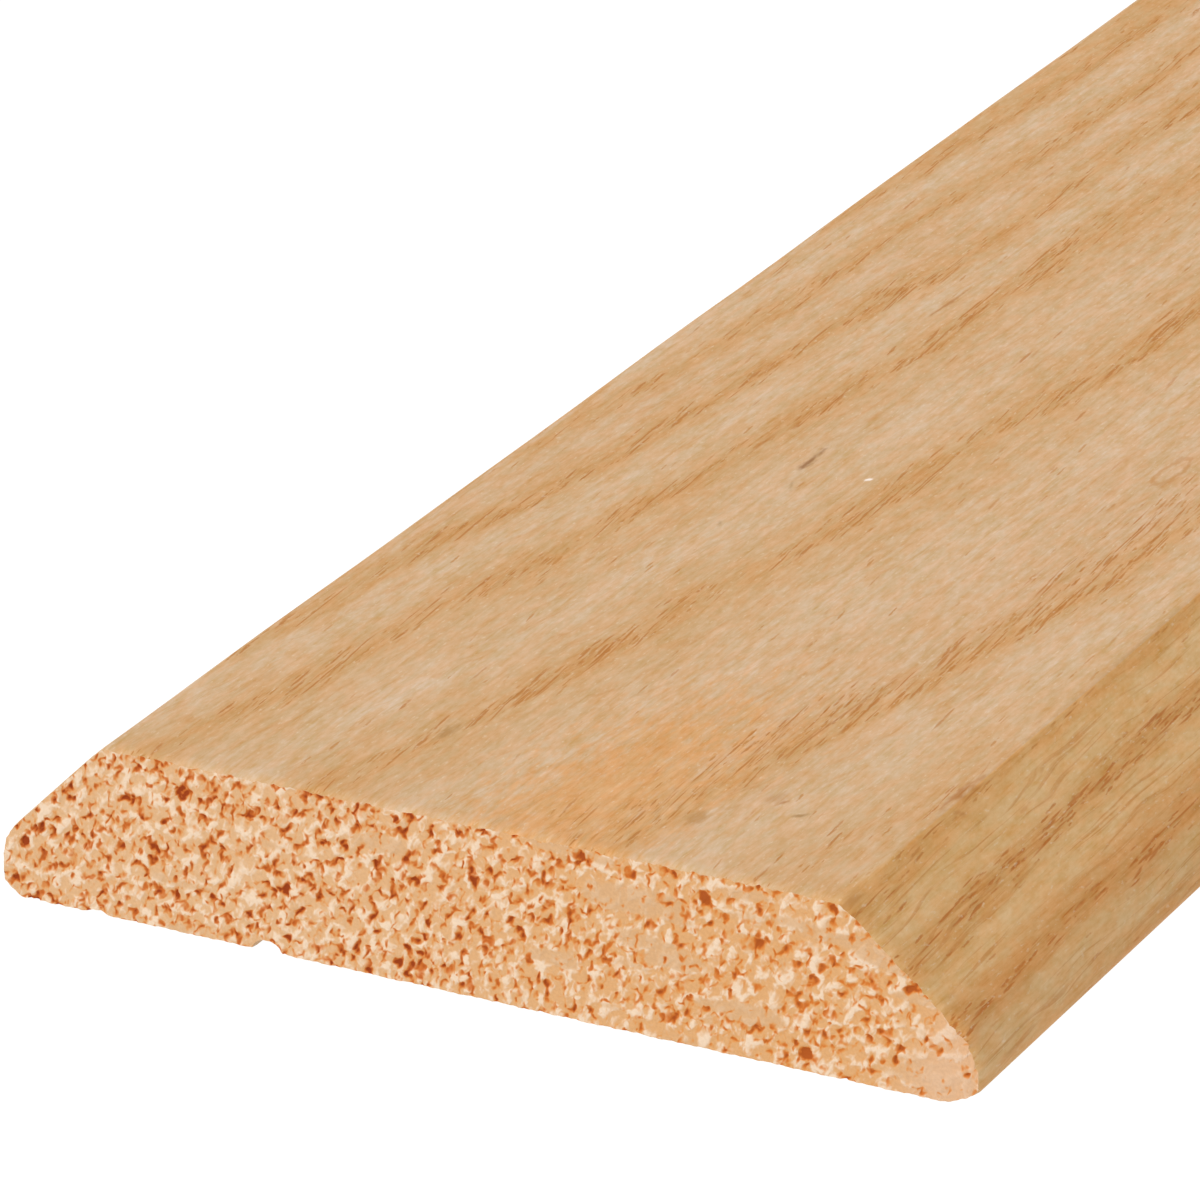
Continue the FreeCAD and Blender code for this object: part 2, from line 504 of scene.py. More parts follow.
def planed_wood():
    """The moulded faces: growth bands, pores, flecks, streaks and the marks near the end."""
    material, make, shader = new_material("planed_hardwood")
    place = board_position(make)
    ring = ring_place(make, place)
    grit = make.noise(make.stretched(place, (0.2, 0.45, 0.2)), detail=2.0, roughness=0.6)
    streak = make.noise(make.stretched(place, (0.22, 7.0, 0.22)), detail=3.0, roughness=0.65)
    thread = make.noise(make.stretched(place, (0.16, 3.5, 0.16)), detail=2.0, roughness=0.6)
    fading = make.noise(make.stretched(place, (4.0, 16.0, 4.0)), detail=1.0)
    cluster = make.noise(make.stretched(place, (0.9, 5.0, 0.9)), detail=1.0)
    speckle = make.noise(make.stretched(place, (0.15, 0.42, 0.15)), detail=2.0)
    line = make.math("MULTIPLY", pore_lines(make, ring), make.step(fading, 0.36, 0.58, 0.35, 1.0))
    bevel = make.step(make.split(place)[2], THICKNESS - 0.3, THICKNESS - 1.0)

    colour = banded(make, place, ring, line, thread, bevel)
    colour = mottled(make, place, colour, grit, streak, thread)
    fine, coarse, opened = pore_layers(make, place, line, cluster, bevel)
    fine_tone = make.mixed(bevel, PORE, BEVEL_PORE)
    dark_tone = make.mixed(bevel, PORE_DARK, BEVEL_PORE)
    colour = make.mixed(make.math("MULTIPLY", fine, 0.75), colour, fine_tone)
    colour = make.mixed(make.math("MULTIPLY", coarse, 0.80), colour, dark_tone)
    colour = make.mixed(make.math("MULTIPLY", opened, 0.82), colour, dark_tone)
    fleck = make.math("MULTIPLY", make.step(speckle, 0.60, 0.78), 0.45)
    colour = make.mixed(fleck, colour, FLECK)
    # a painted line of shade along the ridges, in dashes close to the near end
    colour = make.mixed(ridge_shade_dashes(make, place, cluster), colour, PORE)
    colour = make.mixed(make.math("MULTIPLY", knot_rings(make, place), 0.45), colour, PORE)
    for mark in MARKS:
        colour = marked(make, place, colour, mark)

    make.feed(shader.inputs["Base Color"], colour)
    rough = make.math("MULTIPLY_ADD", grit, 0.18, 0.54)
    rough = make.math("MULTIPLY_ADD", fine, 0.15, rough)
    make.feed(shader.inputs["Roughness"], rough)
    shader.inputs["Specular IOR Level"].default_value = 0.16
    height = make.math("MULTIPLY_ADD", fine, -0.3, make.math("MULTIPLY", coarse, -0.5))
    height = make.math("MULTIPLY_ADD", grit, 0.45, height)
    height = make.math("MULTIPLY_ADD", streak, 0.30, height)
    set_relief(make, shader, height, 0.03, 0.8)
    return material


# The sawn end: torn vessels between pale chunks of fibre, with a few smoother patches
CREAM = seen(243, 215, 185, END_LIGHT)
PEACH = seen(227, 181, 134, END_LIGHT)
APRICOT = seen(226, 172, 117, END_LIGHT)
SMOOTH_PATCH = seen(221, 176, 130, END_LIGHT)
TIP_TONE = seen(232, 190, 156, END_LIGHT)
HALO = seen(226, 148, 70, END_LIGHT)
SPECK = seen(204, 102, 32, END_LIGHT)
SPECK_RIGHT = seen(214, 116, 40, END_LIGHT)
SPECK_DARK = seen(154, 60, 18, END_LIGHT)
# Large torn vessels in the end: X, height, half width, half height
VESSELS = [
    (-17.9, 6.3, 0.50, 0.40),
    (-14.9, 7.2, 0.40, 0.45),
    (-7.3, 6.2, 0.35, 0.30),
    (-2.8, 5.2, 0.40, 0.35),
    (-9.7, 3.5, 0.55, 0.45),
    (-24.0, 3.1, 0.30, 0.35),
    (-15.8, 1.9, 0.30, 0.40),
    (0.4, 6.1, 0.35, 0.60),
    (2.7, 3.8, 0.30, 0.55),
    (0.8, 2.5, 0.40, 0.40),
    (6.0, 8.3, 0.40, 0.40),
    (8.6, 8.0, 0.45, 0.40),
    (12.3, 7.5, 0.35, 0.70),
    (18.7, 8.4, 0.35, 0.45),
    (22.1, 5.1, 0.45, 0.35),
    (23.5, 2.5, 0.55, 0.35),
    (24.7, 1.8, 0.30, 0.45),
    (16.8, 0.9, 0.45, 0.30),
]
# Smoother patches of the end, set out in the same way
PATCHES = [
    (-4.4, 6.8, 1.9, 0.55),
    (8.6, 6.7, 3.2, 0.85),
    (10.4, 4.1, 1.9, 0.55),
    (4.3, 2.9, 1.5, 0.45),
    (23.2, 1.2, 2.0, 1.1),
    (13.8, 2.3, 1.8, 0.6),
]


def nearness(make, x, z, spots):
    """1 at the middle of the nearest spot, falling to 0 at its edge."""
    nearest = 0.0
    for spot_x, spot_z, half_width, half_height in spots:
        across = make.math("DIVIDE", make.math("SUBTRACT", x, spot_x), half_width)
        up = make.math("DIVIDE", make.math("SUBTRACT", z, spot_z), half_height)
        away = make.math("MULTIPLY_ADD", across, across, make.math("MULTIPLY", up, up))
        nearest = make.math("MAXIMUM", make.math("SUBTRACT", 1.0, away), nearest)
    return nearest


def sawn_fields(make, place):
    """The fields that both the end's relief and its colour are made from, each from 0 to 1."""
    x, y, z = make.split(place)
    # the saw dragged the fibres over to one side, so the torn vessels lean
    lean = math.radians(32)
    across = make.math("MULTIPLY_ADD", z, -math.sin(lean), make.math("MULTIPLY", x, math.cos(lean)))
    along = make.math("MULTIPLY_ADD", z, math.cos(lean), make.math("MULTIPLY", x, math.sin(lean)))
    slow_y = make.math("DIVIDE", y, 40.0)
    leaning = make.joined(across, along, slow_y)
    upright = make.joined(x, z, slow_y)
    tear = make.noise(make.stretched(leaning, (0.34, 0.50, 1)), detail=1.0, roughness=0.4, distortion=0.6)
    clump = make.noise(make.stretched(leaning, (0.8, 1.2, 1)), detail=1.0)
    chunk = make.noise(make.stretched(leaning, (0.55, 0.85, 1)), detail=2.0, roughness=0.6, distortion=0.4)
    crowd = make.noise(make.stretched(upright, (3.2, 2.2, 1)), detail=1.0)
    patch = make.noise(make.stretched(upright, (6.5, 1.5, 1)), detail=1.0)
    right = make.step(x, -6.0, 16.0)
    tip = make.step(make.math("MULTIPLY_ADD", z, -0.5, x), 20.0, 23.0)

    # each vessel is a rough round hole of its own
    warp = make.math("MULTIPLY", make.math("SUBTRACT", tear, 0.5), 0.9)
    vessel_place = make.vector("ADD", make.stretched(leaning, (0.46, 0.62, 1)), make.joined(warp, 0.0, 0.0))
    distance, _ = make.cells(vessel_place)
    torn = make.math("MULTIPLY_ADD", make.math("SUBTRACT", 0.42, distance), 0.25, tear)
    torn = make.swayed(torn, clump, 0.45)

    patch_limit = make.math("MULTIPLY_ADD", right, -0.09, 0.66)
    smooth = make.step(make.math("SUBTRACT", patch, patch_limit), 0.0, 0.06)
    own_patch = make.swayed(nearness(make, x, z, PATCHES), clump, 1.6)
    smooth = make.math("MAXIMUM", smooth, make.step(own_patch, 0.1, 0.5))

    limit = make.swayed(0.540, crowd, -0.30)
    for field, amount in ((right, 0.010), (smooth, 0.10), (tip, 0.07)):
        limit = make.math("MULTIPLY_ADD", field, amount, limit)
    over = make.math("SUBTRACT", torn, limit)
    over = make.math("MULTIPLY_ADD", nearness(make, x, z, VESSELS), 0.30, over)
    return {
        "halo": make.step(over, -0.11, 0.04),
        "speck": make.step(over, -0.02, 0.12),
        "core": make.step(over, 0.09, 0.23),
        "chunk": make.step(chunk, 0.45, 0.62),
        "smooth": smooth,
        "right": right,
        "tip": tip,
    }


def sawn_wood():
    """The rough-sawn ends."""
    material, make, shader = new_material("sawn_end_grain")
    place = board_position(make)
    fields = sawn_fields(make, place)
    x, y, z = make.split(place)
    base = make.mixed(make.step(x, -14.0, 12.0), PEACH, APRICOT)
    # the raised chunks of fibre are cream, partly their own pale colour and partly a painted highlight on
    # their raised tops
    colour = make.mixed(fields["chunk"], base, CREAM)
    colour = make.mixed(make.math("MULTIPLY", fields["smooth"], 0.8), colour, SMOOTH_PATCH)
    colour = make.mixed(make.math("MULTIPLY", fields["tip"], 0.5), colour, TIP_TONE)
    grain = make.noise(make.stretched(make.joined(x, z, y), (0.16, 0.16, 1)), detail=2.0)
    colour = make.scaled(colour, make.swayed(1.0, grain, 0.28))
    colour = make.mixed(make.math("MULTIPLY", fields["halo"], 0.7), colour, HALO)
    speck_tone = make.mixed(fields["right"], SPECK, SPECK_RIGHT)
    colour = make.mixed(make.math("MULTIPLY", fields["speck"], 0.92), colour, speck_tone)
    # the torn vessels darken to their cores, partly their own dark colour and partly painted shade deep in
    # the pits
    dark = make.math("MULTIPLY", fields["core"], make.math("MULTIPLY_ADD", fields["right"], -0.35, 0.95))
    colour = make.mixed(dark, colour, SPECK_DARK)
    make.feed(shader.inputs["Base Color"], colour)
    make.feed(shader.inputs["Roughness"], make.math("MULTIPLY_ADD", grain, 0.15, 0.72))
    shader.inputs["Specular IOR Level"].default_value = 0.08
    height = make.math("MULTIPLY_ADD", fields["speck"], -0.5, make.math("MULTIPLY", grain, 0.6))
    height = make.math("MULTIPLY_ADD", fields["chunk"], 0.5, height)
    set_relief(make, shader, height, 0.04, 0.5)
    return material


def bored_wood():
    """The walls of the screw holes, a little scorched by the drill."""
    material, make, shader = new_material("bored_hardwood")
    place = board_position(make)
    ring = make.noise(make.stretched(place, (3.0, 3.0, 0.18)), detail=2.0)
    fibre = make.noise(make.stretched(place, (0.2, 1.6, 0.2)), detail=2.0)
    colour = make.mixed(make.step(fibre, 0.35, 0.7), seen(188, 140, 90), seen(214, 172, 126))
    colour = make.scaled(colour, make.math("MULTIPLY_ADD", ring, 0.4, 0.75))
    make.feed(shader.inputs["Base Color"], colour)
    shader.inputs["Roughness"].default_value = 0.75
    height = make.math("MULTIPLY_ADD", ring, 0.6, fibre)
    set_relief(make, shader, height, 0.06, 0.7)
    return material


# ---------------------------------------------------------------------------------------------
# The strip's mesh
# ---------------------------------------------------------------------------------------------
def corner_arc(before, corner, after, radius, steps=24):
    """The points of a round of one radius between the two straight runs that meet at a corner."""
    before, corner, after = (np.array(p, float) for p in (before, corner, after))
    back = (before - corner) / np.linalg.norm(before - corner)
    ahead = (after - corner) / np.linalg.norm(after - corner)
    half = math.acos(np.clip(back @ ahead, -1, 1)) / 2
    middle = (back + ahead) / np.linalg.norm(back + ahead)
    centre = corner + middle * radius / math.sin(half)
    start = corner + back * radius / math.tan(half) - centre
    end = corner + ahead * radius / math.tan(half) - centre
    shares = np.linspace(0, 1, steps + 1)[:, None]
    sweep = math.pi - 2 * half
    weights_start = np.sin((1 - shares) * sweep) / math.sin(sweep)
    weights_end = np.sin(shares * sweep) / math.sin(sweep)
    return list(centre + weights_start * start + weights_end * end)


def rounded_run(start, corners, end):
    """A line from start to end past (corner, radius) rounds."""
    places = [start] + [corner for corner, _ in corners] + [end]
    points = [np.array(start, float)]
    for index, (corner, radius) in enumerate(corners):
        points += corner_arc(places[index], corner, places[index + 2], radius)
    return points + [np.array(end, float)]


def section_runs():
    """The upper and the lower outline of the section, each from the left nose to the right one."""
    nose_top = THICKNESS - (HALF_WIDTH - TOP_HALF_WIDTH) * math.tan(BEVEL_ANGLE)
    left_tip = (-HALF_WIDTH, NOSE_MIDDLE)
    right_tip = (HALF_WIDTH, NOSE_MIDDLE)
    upper = rounded_run(left_tip, [
        ((-HALF_WIDTH, nose_top), NOSE_RADIUS),
        ((-TOP_HALF_WIDTH, THICKNESS), RIDGE_RADIUS),
        ((TOP_HALF_WIDTH, THICKNESS), RIDGE_RADIUS),
        ((HALF_WIDTH, nose_top), NOSE_RADIUS),
    ], right_tip)
    lower_left = rounded_run(left_tip, [
        ((-HALF_WIDTH, LEFT_EASE[1]), LEFT_EASE[2]),
        ((-HALF_WIDTH + LEFT_EASE[0], 0.0), LEFT_EASE[2]),
    ], (GROOVE_OFFSET - GROOVE_WIDTH / 2, 0.0))
    groove_radius = ((GROOVE_WIDTH / 2) ** 2 + GROOVE_DEPTH ** 2) / (2 * GROOVE_DEPTH)
    groove_half = math.asin(GROOVE_WIDTH / 2 / groove_radius)
    turns = np.linspace(-groove_half, groove_half, 25)[1:-1]
    centre_z = GROOVE_DEPTH - groove_radius
    groove = [
        np.array([GROOVE_OFFSET + groove_radius * math.sin(t), centre_z + groove_radius * math.cos(t)])
        for t in turns
    ]
    lower_right = rounded_run((GROOVE_OFFSET + GROOVE_WIDTH / 2, 0.0), [
        ((HALF_WIDTH - RIGHT_EASE[0], 0.0), RIGHT_EASE[2]),
        ((HALF_WIDTH, RIGHT_EASE[1]), RIGHT_EASE[2]),
    ], right_tip)
    return np.array(upper), np.array(lower_left + groove + lower_right)


def evenly(points, count):
    """The same line in steps of equal length."""
    steps = np.linalg.norm(np.diff(points, axis=0), axis=1)
    travelled = np.concatenate([[0], np.cumsum(steps)])
    wanted = np.linspace(0, travelled[-1], count + 1)
    return np.stack([np.interp(wanted, travelled, points[:, k]) for k in (0, 1)], axis=1)


def wander(values, lengths, seed):
    """A smooth wander between -1 and 1, made of waves of the given lengths."""
    phases = np.random.default_rng(seed).uniform(0, 2 * math.pi, len(lengths))
    waves = [np.sin(2 * math.pi * values / length + phase) for length, phase in zip(lengths, phases)]
    return sum(waves) / len(lengths)


def stations():
    """Distances from the near end at which the section is set out, closer together at both ends."""
    near = END_STATIONS + [END_STATIONS[-1] + NEAR_STEP * i for i in range(1, 20)]
    middle_start = near[-1] + 2 * NEAR_STEP
    length = 2 * HALF_LENGTH
    count = round((length - 2 * middle_start) / MIDDLE_STEP)
    middle = list(np.linspace(middle_start, length - middle_start, count + 1))
    return np.array(near + middle + [length - y for y in reversed(near)])


def worn(ring, y):
    """The section at one station, with its ridges and its end arris slightly worn."""
    x, z = ring[:, 0].copy(), ring[:, 1].copy()
    for side, seed in ((-1, 3), (1, 8)):
        from_ridge = np.hypot(x - side * TOP_HALF_WIDTH, z - THICKNESS)
        amount = RIDGE_WEAR * (1 + wander(y, (19.0, 31.0, 77.0), seed))
        weight = amount * np.exp(-((from_ridge / RIDGE_WEAR_WIDTH) ** 2))
        # down and inwards, square to the ridge
        x -= side * 0.4 * weight
        z -= 0.9 * weight
    from_end = min(y, 2 * HALF_LENGTH - y)
    run = np.gradient(x)
    rise = np.gradient(z)
    size = np.maximum(np.hypot(run, rise), 1e-9)
    ragged = wander(np.cumsum(size), (0.45, 0.8, 1.7, 3.6), 21 if y < HALF_LENGTH else 22)
    upper_wear = np.where(np.abs(x) > TOP_HALF_WIDTH, BEVEL_ARRIS_WEAR, TOP_ARRIS_WEAR)
    reach = np.where(z < NOSE_MIDDLE, LOWER_ARRIS_WEAR, upper_wear)
    across = (x - NOSE_WORN_SPOT[0]) / NOSE_WORN_REACH[0]
    up = (z - NOSE_WORN_SPOT[1]) / NOSE_WORN_REACH[1]
    reach += NOSE_ARRIS_WEAR * np.exp(-(across ** 2 + up ** 2))
    pull = reach * (1 + 0.95 * ragged) * math.exp(-((from_end / ARRIS_WIDTH) ** 2))
    x += pull * rise / size
    z -= pull * run / size
    chip = CHIP_DEPTH * np.exp(-(((x - CHIP_PLACE) / CHIP_HALF_WIDTH) ** 4))
    chip *= math.exp(-((y / CHIP_LENGTH) ** 2))
    z += np.where(z < 0.3, chip, 0)
    return np.stack([x, np.full(len(x), y), z], axis=1)


def strip_mesh():
    """The closed mesh of the moulding, with a fine grid over each end, in the part's frame."""
    upper, lower = section_runs()
    upper = evenly(upper, END_COLUMNS)
    lower = evenly(lower, END_COLUMNS)
    ring = np.concatenate([upper, lower[-2:0:-1]])
    size = len(ring)
    # away from the ends the flat runs need only a few points
    turns = np.abs(np.diff(ring, 2, axis=0, append=ring[:2])).sum(axis=1) > 1e-5
    near_ridge = np.hypot(np.abs(ring[:, 0]) - TOP_HALF_WIDTH, ring[:, 1] - THICKNESS) < RIDGE_BAND
    wanted = near_ridge | (np.arange(size) % COARSE_STEP == 0)
    for shift in (0, 1, 2):
        wanted |= np.roll(turns, shift)
    coarse = np.flatnonzero(wanted)

    places = stations()
    points = []
    faces = []
    kinds = []
    rows = []
    last = len(places) - 1
    for number, y in enumerate(places):
        fine = min(number, last - number) < FINE_STATIONS
        picks = np.arange(size) if fine else coarse
        rows.append((len(points), picks))
        points += list(worn(ring, y)[picks])
    for number in range(last):
        (first, picks), (second, next_picks) = rows[number], rows[number + 1]
        marks = coarse if len(picks) != len(next_picks) else picks
        # the columns are about 0.14 mm apart
        torn = wander(np.arange(len(marks)) * 0.14, (0.5, 0.9, 2.3), 31 + number)
        for index, mark in enumerate(marks):
            after = marks[(index + 1) % len(marks)]
            low = span_of(first, picks, mark, after, size)
            high = span_of(second, next_picks, mark, after, size)
            face = low + high[::-1]
            # where the arris is worn right over on to the end it shows sawn wood
            near_end = min(number, last - 1 - number) < 2
            is_sawn = near_end and look_along(points, face) > 0.5 - 0.1 * torn[index]
            # between an all-column station and the next one, faces have more than four corners
            made = [face] if len(face) == 4 else fan(face, high[0] if len(high) == 2 else low[0])
            faces += made
            kinds += [SAWN if is_sawn else PLANED] * len(made)
    for end, (start, _) in ((0, rows[0]), (1, rows[-1])):
        add_end(points, faces, kinds, start, end)
    return np.array(points), faces, kinds


def fan(face, hub):
    """The triangles of a face, all drawn from one of its corners."""
    start = face.index(hub)
    around = face[start:] + face[:start]
    return [[hub, one, two] for one, two in zip(around[1:], around[2:])]


def look_along(points, face):
    """How squarely a face looks along the strip, from 0 to 1."""
    one, two, three, four = (points[i] for i in (face[0], face[1], face[-2], face[-1]))
    normal = np.cross(three - one, four - two)
    return abs(normal[1]) / max(np.linalg.norm(normal), 1e-9)


def span_of(start, picks, mark, after, size):
    """The vertices of one station from one outline index to the next one that is wanted."""
    if len(picks) == size:
        stop = after if after > mark else size
        span = list(range(mark, stop + 1))
        return [start + i % size for i in span]
    here = int(np.searchsorted(picks, mark))
    return [start + here, start + (here + 1) % len(picks)]


def add_end(points, faces, kinds, start, end):
    """The grid that closes one end, between the upper and the lower outline of its station."""
    size = 2 * END_COLUMNS

    def upper_at(i):
        return start + i

    def lower_at(i):
        return start + (size - i) % size

    grid = {}
    for i in range(1, END_COLUMNS):
        top = points[upper_at(i)]
        bottom = points[lower_at(i)]
        grid[i, 0] = lower_at(i)
        grid[i, END_ROWS] = upper_at(i)
        for j in range(1, END_ROWS):
            grid[i, j] = len(points)
            points.append(bottom + (top - bottom) * j / END_ROWS)
    made = []
    for j in range(END_ROWS):
        made.append([upper_at(0), grid[1, j], grid[1, j + 1]])
        made.append([upper_at(END_COLUMNS), grid[END_COLUMNS - 1, j + 1], grid[END_COLUMNS - 1, j]])
        for i in range(1, END_COLUMNS - 1):
            made.append([grid[i, j], grid[i + 1, j], grid[i + 1, j + 1], grid[i, j + 1]])
    if end:
        made = [face[::-1] for face in made]
    faces += made
    kinds += [SAWN] * len(made)


def new_object(name, points, faces, materials, kinds=None):
    """A smooth-shaded mesh object from points in millimetres."""
    mesh = bpy.data.meshes.new(name)
    mesh.from_pydata([tuple(p) for p in np.array(points) * MM], [], faces)
    for material in materials:
        mesh.materials.append(material)
    if kinds is not None:
        mesh.polygons.foreach_set("material_index", kinds)
    mesh.polygons.foreach_set("use_smooth", [True] * len(mesh.polygons))
    mesh.update()
    made = bpy.data.objects.new(name, mesh)
    bpy.context.scene.collection.objects.link(made)
    return made


def apply_modifiers(piece):
    """Turns a piece's modifiers into its own mesh."""
    graph = bpy.context.evaluated_depsgraph_get()
    mesh = bpy.data.meshes.new_from_object(piece.evaluated_get(graph))
    piece.modifiers.clear()
    piece.data = mesh


def cut_away(piece, cutter):
    """Cuts a closed shape out of a piece, and removes the cutter."""
    cut = piece.modifiers.new("cut", "BOOLEAN")
    cut.operation = "DIFFERENCE"
    cut.solver = "EXACT"
    cut.object = cutter
    apply_modifiers(piece)
    bpy.data.objects.remove(cutter)


def turned_row(radius, centre_y, z, segments):
    """One row of turned points; its radius may be a number or a function of the angle."""
    row = []
    for k in range(segments):
        angle = 2 * math.pi * k / segments
        reach = radius(angle) if callable(radius) else radius
        row.append((reach * math.cos(angle), centre_y + reach * math.sin(angle), z))
    return row


def turned_faces(start, rows, segments):
    """The faces between turned rows that run upwards from point start, and the two that close them."""
    faces = []
    for row in range(rows - 1):
        low = start + row * segments
        high = low + segments
        for k in range(segments):
            after = (k + 1) % segments
            faces.append([low + k, low + after, high + after, high + k])
    faces.append([start + k for k in reversed(range(segments))])
    faces.append([start + (rows - 1) * segments + k for k in range(segments)])
    return faces


def hole_cutter(materials):
    """One mesh with the closed shapes of all four screw holes, which cuts them in one go."""
    profile = screw_hole_profile()
    points = []
    faces = []
    for node in SCREWS:
        faces += turned_faces(len(points), len(profile), HOLE_SEGMENTS)
        for radius, z in profile:
            points += turned_row(radius, screw_centre(node), z, HOLE_SEGMENTS)
    return new_object("hole_cutter", points, faces, materials, [BORED] * len(faces))


def screw_hole_profile():
    """Radius and height up the wall of a screw hole."""
    head_top = cad_top_of_screw()
    cone_top = head_top - HEAD_RIM
    wide = HEAD_RADIUS + SINK_CLEARANCE
    cone_foot = cone_top - (wide - HOLE_RADIUS) / math.tan(HEAD_ANGLE / 2)
    return [
        (HOLE_RADIUS, -1.0),
        (HOLE_RADIUS, cone_foot),
        (wide, cone_top),
        (wide, THICKNESS - RIM_EASE_DEPTH),
        (wide + RIM_EASE_WIDTH, THICKNESS + 0.04),
        (wide + RIM_EASE_WIDTH, THICKNESS + 1.0),
    ]


def cad_top_of_screw():
    """The height of the screws' heads, in millimetres."""
    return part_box(SCREWS[0])[1].z / MM


def screw_centre(node):
    """The place along the strip of one screw, in millimetres."""
    low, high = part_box(node)
    return (low.y + high.y) / 2 / MM


def roughen_ends(strip):
    """Pushes the torn vessels of both ends in, from the same fields that colour them."""
    tree = bpy.data.node_groups.new("end_relief", "GeometryNodeTree")
    tree.interface.new_socket("Geometry", in_out="INPUT", socket_type="NodeSocketGeometry")
    tree.interface.new_socket("Geometry", in_out="OUTPUT", socket_type="NodeSocketGeometry")
    make = Maker(tree)
    source = make.node("NodeGroupInput")
    result = make.node("NodeGroupOutput")
    position = make.node("GeometryNodeInputPosition").outputs[0]
    place = make.vector("ADD", make.scaled(position, 1 / MM), (0.0, HALF_LENGTH, 0.0))
    fields = sawn_fields(make, place)
    depth = make.math("MULTIPLY", fields["speck"], RELIEF_SPECK)
    depth = make.math("MULTIPLY_ADD", fields["core"], RELIEF_CORE, depth)
    low = make.math("SUBTRACT", 1.0, fields["chunk"])
    depth = make.math("MULTIPLY_ADD", low, RELIEF_CHUNK, depth)
    inward = make.node("GeometryNodeInputNamedAttribute", {"Name": "sawn"}, data_type="FLOAT")
    depth = make.math("MULTIPLY", depth, inward.outputs["Attribute"])
    offset = make.joined(0.0, make.math("MULTIPLY", depth, MM), 0.0)
    moved = make.node("GeometryNodeSetPosition", {"Geometry": source.outputs[0], "Offset": offset})
    tree.links.new(moved.outputs[0], result.inputs[0])
    strip.modifiers.new("relief", "NODES").node_group = tree


def build_strip():
    """The moulding with its sawn ends and its screw holes."""
    materials = [planed_wood(), sawn_wood(), bored_wood()]
    points, faces, kinds = strip_mesh()
    points[:, 1] -= HALF_LENGTH
    strip = new_object("hardwood_strip_wood", points, faces, materials, kinds)
    sawn = np.zeros(len(points), np.float32)
    sawn[points[:, 1] < -HALF_LENGTH + 0.01] = 1
    sawn[points[:, 1] > HALF_LENGTH - 0.01] = -1
    strip.data.attributes.new("sawn", "FLOAT", "POINT").data.foreach_set("value", sawn)
    roughen_ends(strip)
    cut_away(strip, hole_cutter(materials))
    strip.data.set_sharp_from_angle(angle=math.radians(32))
    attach(strip, "root")
    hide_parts("hardwood_strip")


# ---------------------------------------------------------------------------------------------
# The screws
# ---------------------------------------------------------------------------------------------
def zinc_plate():
    """Bright zinc plate on steel, with faint wiping marks and a dull bloom."""
    material, make, shader = new_material("zinc_plated_steel")
    place = make.scaled(make.node("ShaderNodeTexCoord").outputs["Object"], 1 / MM)
    bloom = make.noise(make.stretched(place, (1.6, 1.6, 2.4)), detail=3.0)
    fine = make.noise(make.stretched(place, (0.12, 0.12, 0.12)), detail=2.0)
    colour = make.mixed(make.step(bloom, 0.35, 0.7), (0.60, 0.59, 0.55, 1), (0.74, 0.74, 0.72, 1))
    make.feed(shader.inputs["Base Color"], colour)
    shader.inputs["Metallic"].default_value = 1.0
    rough = make.math("MULTIPLY_ADD", bloom, 0.30, 0.14)
    rough = make.math("MULTIPLY_ADD", fine, 0.10, rough)
    make.feed(shader.inputs["Roughness"], rough)
    set_relief(make, shader, fine, 0.01, 0.6)
    return material


def thread_radius(z, angle, tip, outer):
    """The radius of the threaded part at one height and angle: a sharp crest over a thin core."""
    taper = min(1.0, (z - tip) / POINT_LENGTH)
    core = POINT_CORE + (THREAD_ROOT - POINT_CORE) * taper
    crest = POINT_CREST + (outer - POINT_CREST) * taper
    run_in = min(1.0, max(0.0, -z / THREAD_PITCH))
    phase = (z / THREAD_PITCH + angle / (2 * math.pi)) % 1.0
    tooth = max(0.0, 1 - abs(phase - 0.5) / THREAD_TOOTH)
    return core + (crest - core) * tooth * run_in


def screw_mesh(steel):
    """One screw on the upright axis through the origin, with its recess square to X and Y."""
    low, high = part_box(SCREWS[0])
    head_top = high.z / MM
    tip = low.z / MM
    outer = thread_outer_radius()
    cone_top = head_top - HEAD_RIM
    cone_foot = cone_top - (HEAD_RADIUS - SHANK_RADIUS) / math.tan(HEAD_ANGLE / 2)
    # the head and the plain shank, with their edges slightly rounded: radius and height
    smooth_rows = [
        (HEAD_RADIUS - 0.12, head_top),
        (HEAD_RADIUS - 0.04, head_top - 0.04),
        (HEAD_RADIUS, head_top - 0.12),
        (HEAD_RADIUS, cone_top + 0.02),
        (HEAD_RADIUS - 0.05, cone_top - 0.06),
        (SHANK_RADIUS + 0.25, cone_foot + 0.24),
        (SHANK_RADIUS + 0.05, cone_foot - 0.02),
        (SHANK_RADIUS, cone_foot - 0.25),
        (SHANK_RADIUS, 0.25),
        (SHANK_RADIUS - 0.05, 0.05),
    ]
    points = []
    for radius, z in smooth_rows:
        points += turned_row(radius, 0.0, z, SCREW_SEGMENTS)
    for z in np.linspace(-0.1, tip, round(-tip / THREAD_ROW)):
        points += turned_row(lambda angle: thread_radius(z, angle, tip, outer), 0.0, z, SCREW_SEGMENTS)
    # the rows run downwards, so their faces are turned over
    upward_faces = turned_faces(0, len(points) // SCREW_SEGMENTS, SCREW_SEGMENTS)
    faces = [face[::-1] for face in upward_faces]
    screw = new_object("screw_pattern", points, faces, [steel])
    for quarter in (0, 90):
        cut_away(screw, recess_blade(head_top, quarter, steel))
    screw.data.set_sharp_from_angle(angle=math.radians(35))
    return screw


def thread_outer_radius():
    """The thread's outer radius, from the record's mount."""
    mount = next(m for m in frame["record"]["mounts"] if m["name"] == "outer_screws")
    return mount["dims"]["stud_r_mm"]


